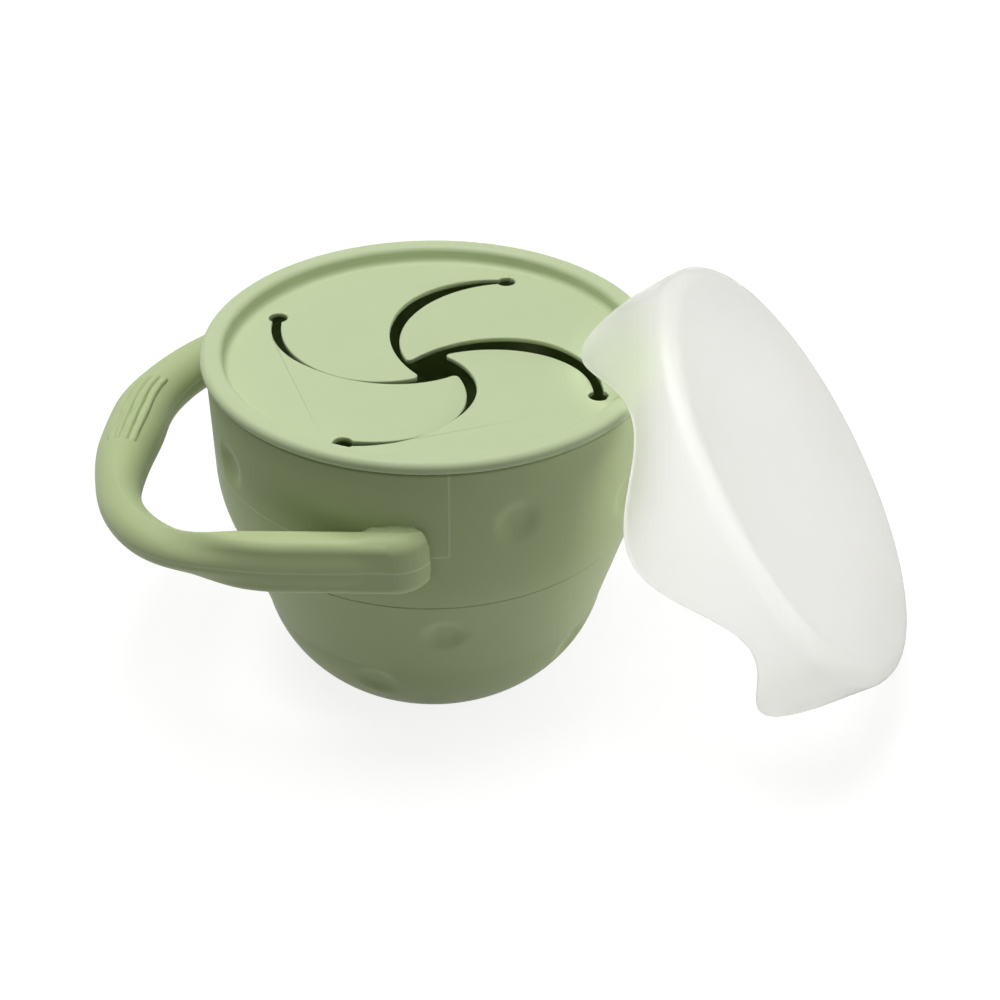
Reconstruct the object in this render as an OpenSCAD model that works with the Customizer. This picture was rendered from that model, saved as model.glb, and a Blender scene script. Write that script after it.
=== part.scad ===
// Collapsible silicone snack cup for toddlers, with a side carry handle,
// a lift-off lid of four swirled petals and a clear dust cover shown taken off.
// Millimetres. Origin: centre of the cup's flat base, +Z up, handle towards -X.

/* [Cup wall] */
// Largest outer radius of the upper wall, at the parting line
wall_r = 46.1; // [42:0.1:50]
// Height of the parting line above the table, also the middle of the handle
belly_z = 54; // [50:0.5:58]
// Height below which the upper wall starts to curve in
shoulder_z = 50; // [44:0.5:54]
// Radius of that curve, seen from the side
shoulder_r = 33; // [20:1:80]
// Thickness of the upper wall
wall_t = 2.4; // [1.6:0.1:3.2]
// Height of the upper wall's top edge
wall_top_z = 72.6; // [70:0.2:76]

/* [Fold and bowl] */
// Height of the upper crease, where the folding band starts
crease_z = 40.6; // [38:0.2:43]
// Height of the lower crease, where the folding band meets the bowl
fold_z = 17.6; // [15:0.2:20]
// Outer radius at the lower crease
fold_r = 38; // [34:0.5:40]
// Thickness of the folding band
fold_t = 1.6; // [1:0.1:2]
// Radius of the bowl's side curve
bowl_curve_r = 28.3; // [26:0.1:34]
// Height of the centre of the bowl's side curve
bowl_curve_z = 21.9; // [20:0.1:24]
// Thickness of the bowl's side wall
bowl_t = 2.4; // [1.6:0.1:3.2]
// Thickness of the bowl's floor
floor_t = 3; // [2:0.1:4]

/* [Dimples] */
// Width of a dimple
dimple_w = 10.5; // [6:0.5:14]
// Depth of a dimple
dimple_depth = 0.9; // [0.3:0.1:1.2]
// Number of dimples round the folding band and round the bowl
dimple_count = 5; // [3:1:8]
// Height of the dimples on the folding band
fold_dimple_z = 31.1; // [27:0.1:33]
// Angle of the first dimple on the folding band
fold_dimple_turn = -84.6; // [-120:0.1:0]
// Height of the dimples on the bowl
bowl_dimple_z = 13; // [11:0.5:15]
// Angle of the first dimple on the bowl
bowl_dimple_turn = -107.2; // [-120:0.1:0]

/* [Carry handle] */
// Distance from the wall's outer radius to the middle of each straight arm
arm_out = 0.8; // [0:0.1:3]
// Horizontal thickness of the handle
handle_t = 8.8; // [8.2:0.1:11]
// Height of the handle's section
handle_h = 9.8; // [9:0.1:11]
// Radius of the section's rounded edges
handle_edge_r = 2.8; // [2:0.1:4]
// Radius of the loop's two corners, along the middle of the handle
handle_corner_r = 35; // [28:0.1:38]
// Distance from the wall's outer radius to the middle of the grip
grip_out = 18.5; // [15:0.1:28]
// Radius of the grip at its widest
grip_r = 6; // [5.6:0.1:8]
// Length over which the grip swells
grip_len = 44; // [30:1:50]
// Half the width of each arm's root, the squarish boss by which it meets the wall
root_r = 5.7; // [5.6:0.1:7]
// Radius of the root's rounded edges
root_edge_r = 4; // [3.5:0.1:5]
// Radius of the curve by which the root runs into the wall
arm_end_r = 13.7; // [10:0.1:16]
// Distance behind the cup's axis at which that curve starts
arm_end_x = 11; // [8:0.5:16]
// Angle through which that curve turns
arm_end_sweep = 70; // [50:5:80]
// Angle by which the soft handle droops towards the grip
handle_droop = 3.3; // [0:0.1:6]

/* [Grip ribs] */
// Number of raised ribs on top of the grip
rib_count = 4; // [2:1:6]
// Length of a rib
rib_len = 26; // [15:1:30]
// Width of a rib
rib_w = 1.3; // [0.8:0.1:2]
// Height of a rib above the grip
rib_h = 0.5; // [0.3:0.1:0.8]
// Angle between neighbouring ribs, round the grip
rib_step = 16.5; // [14:0.5:22]
// Angle by which the middle of the ribs lies towards the cup, from the top of the grip
rib_turn = 7; // [-10:1:12]

/* [Lid] */
// Distance by which the lid's rim stands out past the wall
rim_overhang = 0.9; // [0:0.1:3]
// Width of the rim, from its outer edge to the inside of its top
rim_w = 4.4; // [3:0.1:6]
// Height of the rim
rim_h = 2.8; // [2.2:0.1:5]
// Radius of the rim's rounded edges
rim_edge_r = 1.4; // [0.8:0.1:1.5]
// Depth of the dished top below the rim
dish_depth = 4; // [2.5:0.1:5]
// Radius of the fillet round the dished top
dish_fillet_r = 1.6; // [1:0.1:2]
// Thickness of the dished top and of the petals
film_t = 1.2; // [1:0.1:2]
// Depth of the plug that grips the inside of the wall
plug_depth = 6.5; // [4:0.5:8]
// Thickness of the plug
plug_t = 2; // [1.5:0.1:3]

/* [Petals] */
// Distance from the outside of the plug to the round holes that end the slits
slit_inset = 6.4; // [5:0.1:9]
// Angle of the first of these holes
slit_turn = 65.7; // [0:0.1:90]
// Radius of these holes
slit_hole_r = 2; // [1.5:0.1:2.4]
// Width of a slit
slit_w = 2; // [1:0.1:2.4]
// Radius of a slit's curve, as a share of the distance from the axis to the holes
slit_bend = 0.595; // [0.57:0.005:0.65]
// Distance from the lid's axis to the centre of that curve, as the same share
slit_lean = 0.484; // [0.47:0.002:0.5]
// Radius of a petal's tip
petal_tip_r = 1; // [0.6:0.1:1.4]
// Angle by which a petal hangs below level
petal_droop = 6.5; // [0:0.5:10]

/* [Dust cover] */
// Wall thickness of the cover
cover_t = 0.8; // [0.6:0.1:1.6]
// Radius of the fillet between the cover's face and its skirt
cover_fillet_r = 3.8; // [2:0.1:6]
// Mean depth of the skirt
skirt_depth = 17; // [14:0.5:24]
// Rise and fall of the skirt's wavy edge
skirt_wave = 5.3; // [2:0.1:6]
// Number of lobes round the skirt
lobe_count = 6; // [5:1:8]
// Turn of the cover about its own axis
cover_spin = 5.7; // [0:0.1:60]
// Compass angle towards which the cover faces
cover_heading = -11.8; // [-20:0.1:0]
// Distance by which the leaning cover's upper lobe reaches in past the rim
cover_hook = 11.7; // [9:0.1:15]
// Place of the middle of the cover's face, along Y
cover_y = -8.8; // [-15:0.1:0]

/* [Clearances] */
// Gap at each living hinge
hinge_gap = 0.3; // [0.2:0.05:0.6]
// Gap round the lid's plug and under its rim
lid_gap = 0.3; // [0.2:0.05:0.5]
// Gap where the cover that was taken off leans on the lid's rim
lean_gap = 0.3; // [0.2:0.05:0.8]
// Gap all round between the lid's rim and the cover, when the cover is on
cover_gap = 0.2; // [0.1:0.1:1]

/* [Hidden] */
// Number of petals; the nodes below name one each
petal_count = 4;

$fn = 96;
far = 200;
sage = [0.68, 0.75, 0.56];
sage_light = [0.74, 0.81, 0.61];
sage_deep = [0.60, 0.68, 0.49];
milky = [0.92, 0.93, 0.92, 0.75];

// Radius of the upper wall at height z: straight, then curving in below the shoulder
function wall_r_at(z) =
    wall_r - shoulder_r + sqrt(pow(shoulder_r, 2) - pow(min(0, z - shoulder_z), 2));
crease_r = wall_r_at(crease_z);

// Centre of the bowl's side curve, placed so that it passes through the lower crease
bowl_curve_x = fold_r - sqrt(pow(bowl_curve_r, 2) - pow(fold_z - bowl_curve_z, 2));

// Middle of the handle's arms and of its grip
arm_y = wall_r + arm_out;
grip_x = wall_r + grip_out;

// Least height of the rim's straight side, and least distance from the rim's inside to the plug's
rim_side_min = 0.1;
plug_step_min = 0.4;

// Lid: the plug fits the wall, and the inside of the rim never lies past the plug
lid_r = wall_r + rim_overhang;
rim_under_z = wall_top_z + lid_gap;
lid_top_z = rim_under_z + rim_h;
film_top_z = lid_top_z - dish_depth;
rim_edge = min(rim_edge_r, rim_h / 2 - rim_side_min);
plug_r = wall_r - wall_t - lid_gap;
rim_inner_r = min(lid_r - rim_w, plug_r - plug_step_min);
rim_span = lid_r - rim_inner_r;
dish_r = rim_inner_r - dish_fillet_r;
hinge_z = film_top_z - film_t / 2;

// Petal hinge: a straight line between two neighbouring slit ends
slit_end_r = plug_r - slit_inset;
slit_curve_r = slit_bend * slit_end_r;
slit_curve_reach = slit_lean * slit_end_r;
slit_chord = slit_end_r * cos(180 / petal_count);
hinge_reach = slit_chord - (film_t + hinge_gap) / 2;
window_reach = hinge_reach + film_t / 2 + hinge_gap;

// Centre of a slit's curve, for a slit that ends on the X axis
slit_centre_x = (pow(slit_end_r, 2) + pow(slit_curve_reach, 2) - pow(slit_curve_r, 2))
                / (2 * slit_end_r);
slit_centre = [slit_centre_x, -sqrt(pow(slit_curve_reach, 2) - pow(slit_centre_x, 2))];

function turn(p, a) = [p[0] * cos(a) - p[1] * sin(a), p[0] * sin(a) + p[1] * cos(a)];

// Cover: it fits over the lid's rim
cover_r = lid_r + cover_gap + cover_t;
skirt_max = skirt_depth + skirt_wave;
function skirt_at(a) = skirt_depth + skirt_wave * cos(lobe_count * a);

// Point of the cover seen from the middle of its face, with its axis raised by rise:
// r out from the axis, d down the skirt, at angle a
function cover_point(r, d, a, rise) =
    let (u = r * cos(a + cover_spin) * sin(rise) - d * cos(rise),
         flat = turn([u, r * sin(a + cover_spin)], cover_heading))
    [flat[0], flat[1], -r * cos(a + cover_spin) * cos(rise) - d * sin(rise)];

// Middle of the face: the lowest lobe stands on the table, and the upper one hooks over the rim
function cover_place(rise) =
    [rim_inner_r - cover_hook - cover_point(cover_r - cover_t, skirt_max, 180, rise)[0],
     cover_y,
     -min([for (a = [-60 : 0.5 : 60]) cover_point(cover_r, skirt_at(a), a, rise)[2]])];

// Distance from the lid's rounded rim to the skirt, from its wavy edge up to the face
rim_half = rim_span / 2 - rim_edge;
function lean_at(rise) =
    let (place = cover_place(rise))
    min([for (a = [100 : 2 : 260], r = [cover_r - cover_t, cover_r], d = [0 : 2 : skirt_max])
        let (p = place + cover_point(r, skirt_at(a) - min(d, skirt_at(a)), a, rise),
             out = abs(norm([p[0], p[1]]) - rim_inner_r - rim_span / 2) - rim_half)
        norm([max(0, out), max(0, p[2] - lid_top_z + rim_edge)]) - rim_edge]);

// Angle at which the cover leans with the gap left over the rim, found by halving
function lean_rise(low, high, times) =
    let (rise = (low + high) / 2)
    times == 0 ? rise
    : lean_at(rise) > lean_gap ? lean_rise(rise, high, times - 1)
    : lean_rise(low, rise, times - 1);
steepest = 20;
flattest = 65;
halvings = 16;
cover_rise = lean_rise(steepest, flattest, halvings);
cover_at = cover_place(cover_rise);

// Point at distance ra from a and rb from b, on the left of the way from a to b
function meet(a, b, ra, rb) =
    let (d = norm(b - a), u = (b - a) / d,
         along = (ra * ra - rb * rb + d * d) / (2 * d),
         side = sqrt(ra * ra - along * along))
    a + along * u + side * [-u[1], u[0]];

// Half plane of the section, from height z0 up to height z1
module band(z0, z1) {
    translate([0, z0]) square([far, z1 - z0]);
}

// Filled side view of the upper wall, taken in by t
module upper_side(t = 0) {
    translate([0, shoulder_z]) square([wall_r - t, wall_top_z + wall_t - shoulder_z]);
    intersection() {
        translate([wall_r - shoulder_r, shoulder_z]) circle(r = shoulder_r - t, $fn = 180);
        band(crease_z - wall_t, shoulder_z);
    }
}

// Spherical dimples: each entry is [angle, height, wall radius, tilt of the wall]
module dimples(places) {
    ball_r = (pow(dimple_w / 2, 2) + pow(dimple_depth, 2)) / (2 * dimple_depth);
    for (p = places)
        rotate([0, 0, p[0]]) translate([p[2], 0, p[1]]) rotate([0, p[3], 0])
            translate([ball_r - dimple_depth, 0, 0]) sphere(r = ball_r);
}

function ring_of_dimples(first, z, r, tilt) =
    [for (i = [0 : dimple_count - 1]) [first + i * 360 / dimple_count, z, r, tilt]];

// Dimples on the upper wall: each entry is [angle, height above the parting line]
upper_dimples = [[-67, 6], [-30, -1], [7, 6], [44, -1], [69, 7], [-148, 6], [148, 6], [180, -1]];

module upper_wall() {
    color(sage) difference() {
        rotate_extrude() difference() {
            intersection() {
                upper_side();
                band(crease_z + hinge_gap / 2, wall_top_z);
            }
            upper_side(wall_t);
        }
        dimples([for (d = upper_dimples)
                 [d[0], belly_z + d[1], wall_r_at(belly_z + d[1]), 0]]);
    }
}

module fold_wall() {
    top_z = crease_z - hinge_gap / 2;
    low_z = fold_z + hinge_gap / 2;
    slope = atan((crease_r - fold_r) / (crease_z - fold_z));
    dimple_r = fold_r + (fold_dimple_z - fold_z) * tan(slope);
    color(sage_deep) difference() {
        rotate_extrude() intersection() {
            polygon([[fold_r, fold_z], [crease_r, crease_z],
                     [crease_r - fold_t, crease_z], [fold_r - fold_t, fold_z]]);
            band(low_z, top_z);
        }
        dimples(ring_of_dimples(fold_dimple_turn, fold_dimple_z, dimple_r, slope));
    }
}

// Filled side view of the bowl, taken in by t
module bowl_side(t = 0) {
    intersection() {
        union() {
            translate([bowl_curve_x, bowl_curve_z]) circle(r = bowl_curve_r - t);
            square([bowl_curve_x, fold_z + bowl_t]);
        }
        band(0, fold_z + bowl_t);
    }
}

module bottom_bowl() {
    drop = bowl_curve_z - bowl_dimple_z;
    dimple_r = bowl_curve_x + sqrt(pow(bowl_curve_r, 2) - pow(drop, 2));
    tilt = asin(drop / bowl_curve_r);
    color(sage_deep) difference() {
        rotate_extrude() difference() {
            intersection() {
                bowl_side();
                band(0, fold_z - hinge_gap / 2);
            }
            intersection() {
                bowl_side(bowl_t);
                band(floor_t, fold_z + bowl_t);
            }
        }
        dimples(ring_of_dimples(bowl_dimple_turn, bowl_dimple_z, dimple_r, tilt));
    }
}

// Oblong with rounded edges, about its own middle
module rounded_section(width, height, edge_r) {
    square([width - 2 * edge_r, height], center = true);
    square([width, height - 2 * edge_r], center = true);
    for (sx = [-1, 1], sy = [-1, 1])
        translate([sx * (width / 2 - edge_r), sy * (height / 2 - edge_r)])
            circle(r = edge_r, $fn = 48);
}

module handle_section() {
    rounded_section(handle_t, handle_h, handle_edge_r);
}

// Curved run about a vertical axis, of the section that is handed in
module bend(radius, from, to) {
    rotate([0, 0, from]) rotate_extrude(angle = to - from) translate([radius, 0]) children();
}

// Straight run of the handle along +X from the origin
module handle_straight(length) {
    rotate([90, 0, 90]) linear_extrude(height = length) handle_section();
}

// Insets that keep the thin end of the root and the ends of the grip inside the handle
root_inset = 0.1;
grip_sink = 0.4;

// Front half of the loop, from the wall to the middle of the grip
module handle_half() {
    corner_x = -grip_x + handle_corner_r;
    corner_y = -arm_y + handle_corner_r;
    // root: a cone that runs out of the arm, then a squarish boss that dives into the wall
    root_y = -arm_y + root_r - handle_h / 2;
    translate([corner_x, root_y, 0]) rotate([0, 90, 0])
        cylinder(r1 = handle_t / 2 - root_r + handle_h / 2 - root_inset, r2 = root_r,
                 h = -arm_end_x - corner_x);
    translate([-arm_end_x, root_y + arm_end_r, 0]) bend(arm_end_r, -90, arm_end_sweep - 90)
        rounded_section(2 * root_r, 2 * root_r, root_edge_r);
    translate([corner_x, -arm_y, 0]) handle_straight(-arm_end_x - corner_x);
    translate([corner_x, corner_y, 0]) bend(handle_corner_r, 180, 270) handle_section();
    translate([-grip_x, corner_y, 0]) rotate([0, 0, 90]) handle_straight(-corner_y);
}

// Swollen grip, a barrel along Y whose ends sink just below the handle's sides
module grip_barrel() {
    swell = grip_r - handle_t / 2 + grip_sink;
    barrel_r = (pow(grip_len / 2, 2) + pow(swell, 2)) / (2 * swell);
    rotate([90, 0, 0]) rotate_extrude() intersection() {
        translate([grip_r - barrel_r, 0]) circle(r = barrel_r, $fn = 180);
        translate([0, -grip_len / 2]) square([grip_r, grip_len]);
    }
}

// Raised ribs along the top of the grip
module grip_ribs() {
    for (i = [0 : rib_count - 1])
        rotate([0, (i - (rib_count - 1) / 2) * rib_step + rib_turn, 0])
            translate([0, 0, grip_r - rib_w / 2 + rib_h]) {
                rotate([90, 0, 0]) cylinder(r = rib_w / 2, h = rib_len, center = true, $fn = 24);
            }
}

module carry_handle() {
    color(sage_light) difference() {
        translate([-arm_end_x, 0, belly_z]) rotate([0, -handle_droop, 0])
            translate([arm_end_x, 0, 0]) {
                handle_half();
                mirror([0, 1, 0]) handle_half();
                translate([-grip_x, 0, 0]) {
                    grip_barrel();
                    grip_ribs();
                }
            }
        rotate_extrude() upper_side();
    }
}

// Section of the lid, from the plug to the rim's rounded edges
module lid_section() {
    plug_low_z = rim_under_z - plug_depth;
    // dished top
    translate([0, film_top_z - film_t]) square([plug_r, film_t]);
    // plug, up to the middle of the dished top
    translate([plug_r - plug_t, plug_low_z]) square([plug_t, hinge_z - plug_low_z]);
    // rim, with its outer edges and its inner top edge rounded
    translate([rim_inner_r, rim_under_z]) {
        translate([0, rim_edge]) square([rim_span, rim_h - 2 * rim_edge]);
        square([rim_span - rim_edge, rim_h - rim_edge]);
        translate([rim_edge, 0]) square([rim_span - 2 * rim_edge, rim_h]);
        for (p = [[rim_edge, rim_h - rim_edge],
                  [rim_span - rim_edge, rim_h - rim_edge],
                  [rim_span - rim_edge, rim_edge]])
            translate(p) circle(r = rim_edge, $fn = 48);
    }
    // hollow fillet between the dished top and the rim
    difference() {
        translate([dish_r, film_top_z - film_t])
            square([plug_r - dish_r, film_t + dish_fillet_r]);
        translate([dish_r, film_top_z + dish_fillet_r]) circle(r = dish_fillet_r, $fn = 48);
    }
}

// Window that the petals fill: a square with round holes at its corners, widened where
// a slit swings out past the square's side
module petal_window() {
    translate([0, 0, film_top_z - 2 * film_t]) linear_extrude(height = 4 * film_t) {
        rotate(slit_turn + 180 / petal_count) square(2 * window_reach, center = true);
        for (i = [0 : petal_count - 1]) rotate(slit_turn + i * 360 / petal_count) {
            translate([slit_end_r, 0]) circle(r = slit_hole_r, $fn = 48);
            intersection() {
                translate(slit_centre) circle(r = slit_curve_r + slit_w / 2);
                square(far);
            }
        }
    }
}

module lid_rim() {
    color(sage_light) difference() {
        rotate_extrude() lid_section();
        petal_window();
    }
}

// Outline of the petal between the slit that ends on +X and the next one
module petal_outline() {
    step = 360 / petal_count;
    next = turn(slit_centre, step);
    outer_r = slit_curve_r + slit_w / 2;
    inner_r = slit_curve_r - slit_w / 2;
    tip = meet(slit_centre, next, outer_r + petal_tip_r, inner_r - petal_tip_r);
    touch_a = tip + petal_tip_r * (slit_centre - tip) / norm(slit_centre - tip);
    touch_b = tip - petal_tip_r * (next - tip) / norm(next - tip);
    cut = touch_b - touch_a;
    difference() {
        intersection() {
            union() {
                translate(next) circle(r = inner_r);
                translate([next[0], 0]) square(slit_end_r);
            }
            rotate([0, 0, step / 2]) translate([-far / 2, -far / 2])
                square([far / 2 + hinge_reach + film_t / 2, far]);
        }
        translate(slit_centre) circle(r = outer_r);
        for (a = [0, step])
            rotate([0, 0, a]) translate([slit_end_r, 0]) circle(r = slit_hole_r, $fn = 48);
        translate(touch_a) rotate([0, 0, atan2(cut[1], cut[0])])
            translate([-petal_tip_r, 0]) square([4 * petal_tip_r, 4 * petal_tip_r]);
    }
    translate(tip) circle(r = petal_tip_r, $fn = 48);
}

// One petal in place, hanging from its hinge line; the root is a rounded knuckle
module petal(index) {
    step = 360 / petal_count;
    color(sage_light)
        rotate([0, 0, slit_turn + index * step + step / 2])
            translate([hinge_reach, 0, hinge_z]) rotate([0, -petal_droop, 0])
                intersection() {
                    translate([-hinge_reach, 0, 0]) rotate([0, 0, -step / 2])
                        translate([0, 0, -film_t]) linear_extrude(height = 2 * film_t)
                            petal_outline();
                    union() {
                        translate([-far, -far / 2, -film_t / 2]) cube([far, far, film_t]);
                        rotate([90, 0, 0])
                            cylinder(r = film_t / 2, h = far, center = true, $fn = 48);
                    }
                }
}

module petal_1() { petal(0); }
module petal_2() { petal(1); }
module petal_3() { petal(2); }
module petal_4() { petal(3); }

// Side view of the cover's shell, hanging down from the middle of its face
module cover_section(t = 0) {
    r = cover_r - t;
    fillet = cover_fillet_r - t;
    translate([0, -far]) square([r - fillet, far - t]);
    translate([0, -far]) square([r, far - t - fillet]);
    translate([r - fillet, -t - fillet]) circle(r = fillet, $fn = 64);
}

// Everything past the wavy edge, over one wave from lobe tip to lobe tip,
// with a degree over at each side and twelve steps to each half
module wave_cut() {
    half = 180 / lobe_count + 1;
    steps = 12;
    edge = [for (i = [-steps : steps])
            let (a = i * half / steps)
            [cover_r * sin(a), -skirt_at(a + 180 / lobe_count)]];
    bottom = -skirt_max - cover_fillet_r;
    rotate([90, 0, 90]) translate([0, 0, cover_r / 2]) linear_extrude(height = cover_r)
        polygon(concat([[-cover_r * sin(half), bottom]], edge, [[cover_r * sin(half), bottom]]));
}

module dust_cover() {
    color(milky)
        translate(cover_at)
            rotate([0, 90 - cover_rise, cover_heading]) rotate([0, 0, cover_spin])
                difference() {
                    rotate_extrude() difference() {
                        intersection() {
                            cover_section();
                            translate([0, -skirt_max - 2]) square([far, far]);
                        }
                        cover_section(cover_t);
                    }
                    for (i = [0 : lobe_count - 1])
                        rotate([0, 0, (i + 0.5) * 360 / lobe_count]) wave_cut();
                }
}

upper_wall();
carry_handle();
fold_wall();
bottom_bowl();
lid_rim();
petal_1();
petal_2();
petal_3();
petal_4();
dust_cover();
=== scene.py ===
"""Soft snack cup with a side handle, a petal lid and a loose milky dust cover.

Every piece is built in millimetres in the cup's own frame and stored in metres:
origin at the middle of the flat base, +Z up, handle towards -X, dust cover towards +X.
"""

from __future__ import annotations

import logging
import math
from dataclasses import dataclass
from enum import Enum
from typing import Any, Sequence

import bmesh
import bpy
import numpy as np
from mathutils import Matrix, Vector


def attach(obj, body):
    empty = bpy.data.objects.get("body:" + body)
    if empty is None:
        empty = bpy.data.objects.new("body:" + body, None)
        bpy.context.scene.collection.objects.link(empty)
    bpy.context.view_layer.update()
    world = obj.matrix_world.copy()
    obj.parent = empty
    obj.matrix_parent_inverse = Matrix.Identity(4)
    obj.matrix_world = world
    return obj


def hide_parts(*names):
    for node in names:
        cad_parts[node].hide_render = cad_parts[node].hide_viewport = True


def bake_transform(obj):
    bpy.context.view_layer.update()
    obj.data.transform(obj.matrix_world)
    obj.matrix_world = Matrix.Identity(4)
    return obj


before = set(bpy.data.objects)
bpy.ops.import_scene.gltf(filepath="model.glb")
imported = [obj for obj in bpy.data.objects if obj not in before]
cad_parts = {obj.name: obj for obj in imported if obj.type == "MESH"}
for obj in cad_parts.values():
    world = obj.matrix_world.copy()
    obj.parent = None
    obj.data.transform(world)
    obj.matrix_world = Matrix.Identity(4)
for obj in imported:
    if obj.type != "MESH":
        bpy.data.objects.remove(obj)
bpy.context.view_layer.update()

LOG = logging.getLogger("snack_cup")
MM = 0.001
# Lengths below TINY_MM count as none, and edges that bend by more than CORNER radians as corners.
TINY_MM = 0.01
CORNER = 1.0

Point2 = tuple[float, float]
Point3 = tuple[float, float, float]


class Slot(Enum):
    """Material slots of the record, one for each finish."""

    CUP = "cup_silicone"
    LID = "lid_silicone"
    COVER = "cover_milky_plastic"


# Helpers for sections and meshes


def smoothstep(low: float, high: float, value: np.ndarray) -> np.ndarray:
    """Give the smooth step from 0 at low to 1 at high for each value."""
    t = np.clip((value - low) / (high - low), 0, 1)
    return t * t * (3 - 2 * t)


def rounded(across: np.ndarray, up: np.ndarray, edge: float | np.ndarray) -> np.ndarray:
    """Join the distances from two flat sides into one, with a round edge between the sides.

    Args:
        across: distances from one side, negative inside.
        up: distances from the other side, negative inside.
        edge: radius of the edge between them.

    Returns:
        The distances from the shape, negative inside.
    """
    across, up = across + edge, up + edge
    outside = np.hypot(np.maximum(across, 0), np.maximum(up, 0))
    return outside + np.minimum(np.maximum(across, up), 0) - edge


def melt(one: np.ndarray, other: np.ndarray, width: float | np.ndarray) -> np.ndarray:
    """Run two distances together with a fillet of about the given width."""
    near = np.maximum(width - np.abs(one - other), 0)
    return np.minimum(one, other) - near**2 / (4 * width)


def polar(radius: float, angle: float) -> Vector:
    """Give the point of the XY plane at a radius and an angle in degrees."""
    a = math.radians(angle)
    return Vector((radius * math.cos(a), radius * math.sin(a)))


def heading_of(centre: Vector, point: Vector) -> float:
    """Give the angle of a point about a centre, in degrees."""
    return math.degrees(math.atan2(point.y - centre.y, point.x - centre.x))


def arc(
    centre: Sequence[float], radius: float, start: float, end: float, steps: int
) -> list[Point2]:
    """List points along an arc.

    Args:
        centre: centre of the arc.
        radius: radius of the arc.
        start: angle of the first point, in degrees.
        end: angle of the last point, in degrees.
        steps: number of chords.

    Returns:
        The points, both ends included.
    """
    angles = [math.radians(start + (end - start) * i / steps) for i in range(steps + 1)]
    return [(centre[0] + radius * math.cos(a), centre[1] + radius * math.sin(a)) for a in angles]


def line(start: Point2, end: Point2, steps: int) -> list[Point2]:
    """List evenly spaced points from start to end, with the end left out.

    Args:
        start: first point.
        end: point that the line runs to.
        steps: number of points.

    Returns:
        The points.
    """
    run, climb = end[0] - start[0], end[1] - start[1]
    return [(start[0] + run * i / steps, start[1] + climb * i / steps) for i in range(steps)]


def spun(section: Sequence[Point2], steps: int, closed: bool = True) -> bmesh.types.BMesh:
    """Spin a section round the Z axis.

    Args:
        section: points as distance from the axis and height.
        steps: number of steps round the axis.
        closed: whether the section's last point joins its first.

    Returns:
        A closed mesh with outward normals.
    """
    bm = bmesh.new()
    verts = [bm.verts.new((r, 0, z)) for r, z in section]
    pairs = list(zip(verts, verts[1:]))
    if closed:
        pairs.append((verts[-1], verts[0]))
    edges = [bm.edges.new(pair) for pair in pairs]
    bmesh.ops.spin(
        bm,
        geom=verts + edges,
        cent=(0, 0, 0),
        axis=(0, 0, 1),
        angle=2 * math.pi,
        steps=steps,
        use_merge=True,
        use_duplicate=False,
    )
    bmesh.ops.remove_doubles(bm, verts=bm.verts, dist=0.001)
    bmesh.ops.recalc_face_normals(bm, faces=bm.faces)
    return bm


def round_edges(
    bm: bmesh.types.BMesh, edges: list[bmesh.types.BMEdge], width: float, segments: int
) -> None:
    """Round some edges of a mesh.

    Args:
        bm: mesh in millimetres.
        edges: edges to round.
        width: distance from the edge to where the rounding starts.
        segments: number of steps across the rounding.
    """
    bmesh.ops.bevel(
        bm,
        geom=edges,
        offset=width,
        offset_type="OFFSET",
        segments=segments,
        profile=0.5,
        affect="EDGES",
        material=-1,
    )


def new_object(
    name: str,
    bm: bmesh.types.BMesh,
    material: bpy.types.Material,
    sharp: float | None = None,
) -> bpy.types.Object:
    """Store a bmesh as a smooth-shaded object in metres.

    Args:
        name: name of the piece.
        bm: mesh in millimetres; it is freed.
        material: finish of the piece.
        sharp: angle in degrees from which an edge is shaded sharp, if any is.

    Returns:
        The new object, at the origin, unturned and unscaled.
    """
    bmesh.ops.transform(bm, matrix=Matrix.Scale(MM, 4), verts=bm.verts)
    mesh = bpy.data.meshes.new(name)
    bm.to_mesh(mesh)
    bm.free()
    mesh.polygons.foreach_set("use_smooth", [True] * len(mesh.polygons))
    mesh.materials.append(material)
    if sharp is not None:
        mesh.set_sharp_from_angle(angle=math.radians(sharp))
    piece = bpy.data.objects.new(name, mesh)
    bpy.context.collection.objects.link(piece)
    return piece


# Helpers for materials


def linear(hex_colour: str) -> tuple[float, float, float, float]:
    """Turn an sRGB hex colour into linear values.

    Args:
        hex_colour: a hash and six hex digits.

    Returns:
        Linear red, green, blue and an alpha of one.
    """
    parts = [int(hex_colour[i : i + 2], 16) / 255 for i in (1, 3, 5)]
    red, green, blue = [
        p / 12.92 if p <= 0.04045 else ((p + 0.055) / 1.055) ** 2.4 for p in parts
    ]
    return red, green, blue, 1.0


def add_node(
    tree: bpy.types.NodeTree,
    kind: str,
    settings: dict[str, Any] | None = None,
    inputs: dict[Any, Any] | None = None,
) -> bpy.types.Node:
    """Add a node with its settings and its links.

    Args:
        tree: node tree that gets the node.
        kind: identifier of the node type.
        settings: attribute names and values.
        inputs: socket names or numbers, each with a value or an output socket.

    Returns:
        The new node.
    """
    node = tree.nodes.new(kind)
    for name, value in (settings or {}).items():
        setattr(node, name, value)
    for key, value in (inputs or {}).items():
        socket = node.inputs[key]
        if isinstance(value, bpy.types.NodeSocket):
            tree.links.new(value, socket)
        else:
            socket.default_value = value
    return node


def maths(tree: bpy.types.NodeTree, operation: str, *values: Any) -> bpy.types.NodeSocket:
    """Add one Math node and give its result."""
    inputs = dict(enumerate(values))
    return add_node(tree, "ShaderNodeMath", {"operation": operation}, inputs).outputs[0]


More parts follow.
